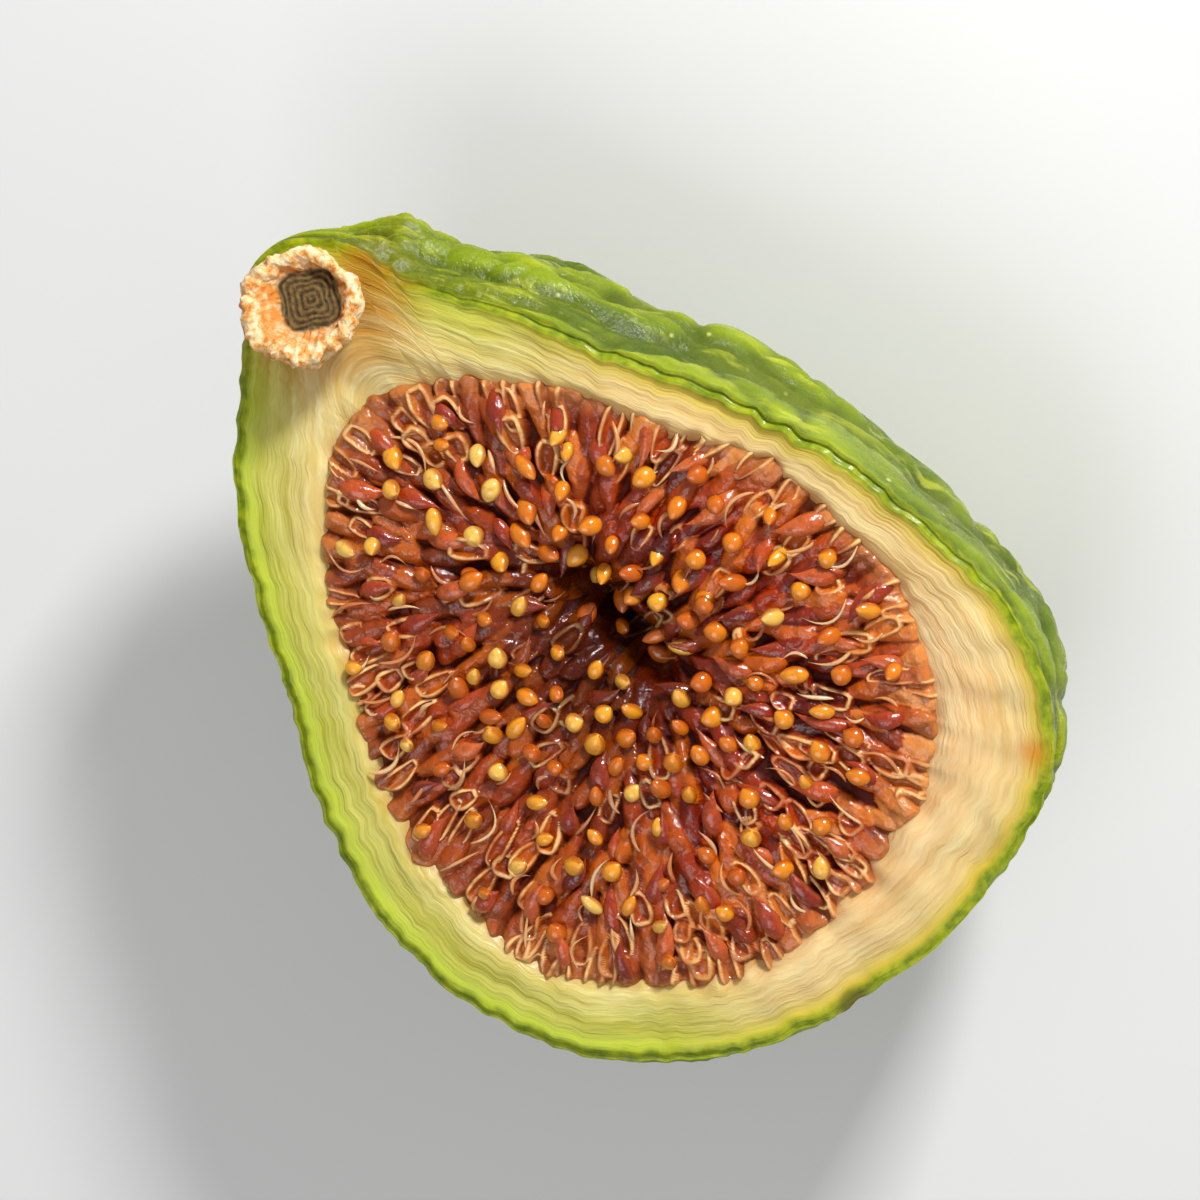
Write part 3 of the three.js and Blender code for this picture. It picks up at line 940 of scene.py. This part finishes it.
def sac_paths(places, length, tilt, bend, lift, waver, steps):
    """Paths that lie towards the hollow, with their middles above the given places."""
    inward, sideways = inward_ways(places, waver)
    t = crowded(steps)[None, :]
    run = (t - 0.5) * length[:, None]
    swing = bend[:, None] * ((t - 0.5) ** 2 - 0.08) * length[:, None]
    aside = sideways[:, None, :] * swing[..., None]
    level = places[:, None, :] + inward[:, None, :] * run[..., None] + aside
    bed = pulp_height(places)[:, None] + lift[:, None]
    droop = -0.6 * (t - 0.5) ** 2 * length[:, None] * 0.5
    return spread_out(level[..., 0], level[..., 1], bed + np.sin(tilt)[:, None] * run + droop)


def crowded(steps):
    """Numbers from 0 to 1 that lie closer together towards both ends."""
    return 0.5 - 0.5 * np.cos(math.pi * np.arange(steps) / (steps - 1))


def sac_radii(width, steps, fat_end, sharp):
    """Radii of a teardrop: round at one end, widest at fat_end of its length, and then drawn out."""
    t = crowded(steps)
    blunt = np.sqrt(np.clip(1 - ((t - fat_end) / fat_end) ** 2, 0, 1))
    drawn = (0.5 + 0.5 * np.cos(math.pi * np.clip((t - fat_end) / (1 - fat_end), 0, 1))) ** sharp
    shape = np.where(t < fat_end, blunt, drawn)
    return np.maximum(width[:, None] * shape[None, :], 0.004)


def some(low, high, count):
    return rng.uniform(low, high, count)


def make_florets():
    """Florets that stand out of the bed, here and there."""
    places = scatter(*RAISED_SPACING)
    count = len(places)
    paths = sac_paths(places, some(1.2, 2.2, count), some(-0.1, 0.5, count), some(-0.6, 0.6, count),
                      some(0.1, 0.36, count), 0.45, FLORET_STEPS)
    radii = sac_radii(some(0.24, 0.4, count), FLORET_STEPS, 0.38, 0.7)
    make_tubes("fig_florets", paths, radii, 12, 0.8, floret_finish(), some(0, 1, count))


def make_seeds():
    """Golden seeds that stand out of the florets, mostly in the inner two thirds of the pulp."""
    places = np.concatenate([scatter(*ring) for ring in SEED_SPACING])
    count = len(places)
    steps = SEED_STEPS
    length = some(0.62, 1.1, count)
    inward, _ = inward_ways(places, 1.1)
    t = crowded(steps)[None, :]
    run = (t - 0.5) * length[:, None]
    tilt = some(0.0, 0.9, count)[:, None]
    level = places[:, None, :] + inward[:, None, :] * (run * np.cos(tilt))[..., None]
    height = pulp_height(places)[:, None] + some(0.26, 0.58, count)[:, None] + run * np.sin(tilt)
    paths = spread_out(level[..., 0], level[..., 1], height)
    radii = sac_radii(some(0.25, 0.4, count), steps, 0.46, 0.3)
    make_tubes("fig_seeds", paths, radii, 14, 0.78, seed_finish(), some(0, 1, count))


def make_strands():
    """Thin pale threads that run in from the rind over the outer florets."""
    places = np.concatenate([scatter(*ring) for ring in STRAND_SPACING])
    count = len(places)
    steps = STRAND_STEPS
    paths = sac_paths(places, some(0.7, 1.9, count), some(-0.2, 0.3, count), some(-1.5, 1.5, count),
                      some(0.3, 0.44, count), 0.35, steps)
    sway = 0.07 * np.sin(np.linspace(0, 7, steps)[None, :] + some(0, 6, count)[:, None])
    paths[..., 2] += sway
    radii = sac_radii(some(0.05, 0.095, count), steps, 0.4, 0.6)
    make_tubes("fig_strands", paths, radii, 6, 1.0, strand_finish(), some(0, 1, count))


# ---- Stalk stub ----


# Radius and height of the stub's outline, from its root to the middle of its core.
STUB_PROFILE = np.array([
    (0.02, -4.2), (1.0, -4.2), (1.3, -4.0), (1.32, -3.0), (1.35, -2.4), (1.5, -1.9), (1.75, -1.4),
    (1.98, -0.95), (2.08, -0.6), (2.07, -0.3), (2.0, -0.08), (1.86, 0.02), (1.7, 0.0), (1.54, -0.1),
    (1.4, -0.25), (1.27, -0.42), (1.15, -0.55), (1.02, -0.6), (0.85, -0.6), (0.65, -0.58),
    (0.45, -0.56), (0.25, -0.54), (0.02, -0.54),
])
STUB_TURNS, STUB_RINGS = 160, 90
CORE_SQUARE, CORE_TURN = 0.07, 0.9  # how square the core is, and how far that square is turned
RING_SPACING = 0.22  # of the growth rings in the core


def stub_frame():
    """The middle of the stub's end, its axis, and two ways across it, in the fruit's frame."""
    end = np.array([*STUB_PLACE, CUT_HEIGHT + STUB_RISE])
    axis = unit(STUB_AXIS)
    aside = unit(np.cross(axis, [1.0, 0.0, 0.0]))
    return end, axis, aside, np.cross(aside, axis)


def growth_rings(radius, angle, wheel):
    """1 on the ridges of the core's rings and 0 between them. The rings are squarish and uneven."""
    over = wheel * (radius / 2)[..., None]
    squared = radius * (1 - CORE_SQUARE * np.cos(4 * angle + CORE_TURN))
    grain = squared + 0.07 * noise(over, 0.4, 45)
    strength = 0.55 + 0.45 * noise(wheel, 0.5, 46)
    ring = 0.5 + 0.5 * np.cos(grain * 2 * math.pi / RING_SPACING) * strength
    return np.clip(ring + 0.25 * noise(over, 0.16, 47), 0, 1)


def make_stub():
    """A straight root, a crumbly collar with a torn rim, and a sunken ringed core."""
    angle = np.linspace(0, 2 * math.pi, STUB_TURNS, endpoint=False)[None, :]
    place = np.linspace(0, len(STUB_PROFILE) - 1, STUB_RINGS)
    radius = np.interp(place, np.arange(len(STUB_PROFILE)), STUB_PROFILE[:, 0])[:, None]
    height = np.interp(place, np.arange(len(STUB_PROFILE)), STUB_PROFILE[:, 1])[:, None]
    round_wheel = spread_out(2 * np.cos(angle), 2 * np.sin(angle), height)
    wheel = round_wheel * [1, 1, 0]
    ragged = 0.6 + 0.4 * np.cos(angle)
    top = rise(height, -1.0, -0.7)
    collar = mound(radius, 1.85, 0.33) * rise(height, -1.5, -0.5)
    teeth = noise(wheel, 0.42, 41) + 0.6 * noise(round_wheel * [1, 1, 0.4], 0.2, 42)
    lumps = 0.13 * noise(round_wheel, 0.6, 43) + 0.09 * noise(round_wheel, 0.22, 44)
    pits = 0.12 * noise(wheel, 0.3, 48) * mound(radius, 1.35, 0.3) * top
    core = rise(-radius, -1.2, -1.05) * top
    ring = growth_rings(radius, angle, wheel)
    square = CORE_SQUARE * np.cos(4 * angle + CORE_TURN)
    square = square * rise(radius, 0.2, 0.8) * rise(-radius, -1.45, -1.15)
    uneven = 0.13 * noise(wheel, 1.5, 49) * rise(radius, 1.2, 1.8)
    torn = teeth * ragged * collar
    wide = radius * (1 + square + uneven) + lumps * rise(radius, 0.9, 1.4) + 0.2 * torn
    high = height + pits + 0.34 * torn + (0.1 * ring - 0.1) * core
    shift = 0.38 * rise(-radius, -1.75, -1.1) * top
    end, axis, aside, up = stub_frame()
    out = aside * (wide * np.cos(angle) - shift)[..., None] + up * (wide * np.sin(angle))[..., None]
    points = end + out + axis * high[..., None]

    loops = np.arange(STUB_RINGS * STUB_TURNS).reshape(STUB_RINGS, STUB_TURNS)
    rolled = np.roll(loops, -1, axis=1)
    quads = np.stack([loops[:-1], rolled[:-1], rolled[1:], loops[1:]], axis=-1)
    faces = quads.reshape(-1, 4).tolist() + [loops[0, ::-1].tolist(), loops[-1].tolist()]
    ones = np.ones(loops.shape)
    attributes = {
        "core": (core * ones).ravel(),
        "ring": (ring * ones).ravel(),
        "high": (rise(height, -2.2, 0) * ones).ravel(),
        "well": (mound(radius, 1.25, 0.22) * top * ones).ravel(),
    }
    points = points.reshape(-1, 3)
    piece = make_piece("stem_stub_wood", points, faces, stub_finish(), attributes)
    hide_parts("stem_stub")


# ---- Stage ----

CAMERA_ELEVATION = math.radians(68)
CAMERA_ROLL = math.radians(133.7)
CAMERA_DISTANCE = 0.19
CAMERA_LENS = 162


def camera_axes():
    """The camera's right, up and back. The stalk points up and to the left in the picture."""
    back = Vector((0, -math.cos(CAMERA_ELEVATION), math.sin(CAMERA_ELEVATION)))
    along = Vector((1, 0, 0))
    away = back.cross(along)
    right = math.cos(CAMERA_ROLL) * along - math.sin(CAMERA_ROLL) * away
    up = math.sin(CAMERA_ROLL) * along + math.cos(CAMERA_ROLL) * away
    return right, up, back


def make_camera(middle):
    right, up, back = camera_axes()
    camera = bpy.data.objects.new("camera", bpy.data.cameras.new("camera"))
    camera.matrix_world = Matrix.Translation(middle + back * CAMERA_DISTANCE) @ Matrix(
        (right, up, back)).transposed().to_4x4()
    camera.data.lens = CAMERA_LENS
    camera.data.clip_start = 0.01
    bpy.context.scene.collection.objects.link(camera)
    bpy.context.scene.camera = camera


def make_light(name, middle, way, distance, size, power):
    """A square soft light that shines at middle from the given way."""
    light = bpy.data.objects.new(name, bpy.data.lights.new(name, "AREA"))
    light.data.size = size
    light.data.energy = power
    light.location = middle + way.normalized() * distance
    light.rotation_euler = way.to_track_quat("Z", "Y").to_euler()
    bpy.context.scene.collection.objects.link(light)


def make_stage():
    """A pale floor, a pale world, and soft lights above the fruit."""
    low, high = cad_box
    middle = (low + high) / 2
    make_camera(middle)
    right, up, back = camera_axes()
    make_light("key", middle, back + 0.75 * up + 0.35 * right, 0.22, 0.035, 0.5)
    make_light("fill", middle, back - 0.9 * up - 0.5 * right, 0.3, 0.2, 0.24)
    make_light("rim", middle, 0.35 * back + 0.5 * up + 1.2 * right, 0.25, 0.05, 0.22)
    mesh = bpy.data.meshes.new("floor")
    side = 1.5
    corners = [(-side, -side, 0), (side, -side, 0), (side, side, 0), (-side, side, 0)]
    mesh.from_pydata(corners, [], [(0, 1, 2, 3)])
    finish = Finish("floor", Roughness=0.6)
    clouds = finish.noise(40, 2)
    finish.colour(finish.ramp(clouds, (0.3, shade(236, 236, 236)), (0.7, shade(242, 242, 241))))
    mesh.materials.append(finish.material)
    floor = bpy.data.objects.new("floor", mesh)
    bpy.context.scene.collection.objects.link(floor)
    world = bpy.data.worlds.new("world")
    world.use_nodes = True
    world.node_tree.nodes["Background"].inputs["Color"].default_value = (1, 1, 1, 1)
    world.node_tree.nodes["Background"].inputs["Strength"].default_value = 0.28
    bpy.context.scene.world = world
    bpy.context.scene.view_settings.view_transform = "Standard"


make_fruit()
make_bed()
make_florets()
make_seeds()
make_strands()
make_stub()
make_stage()
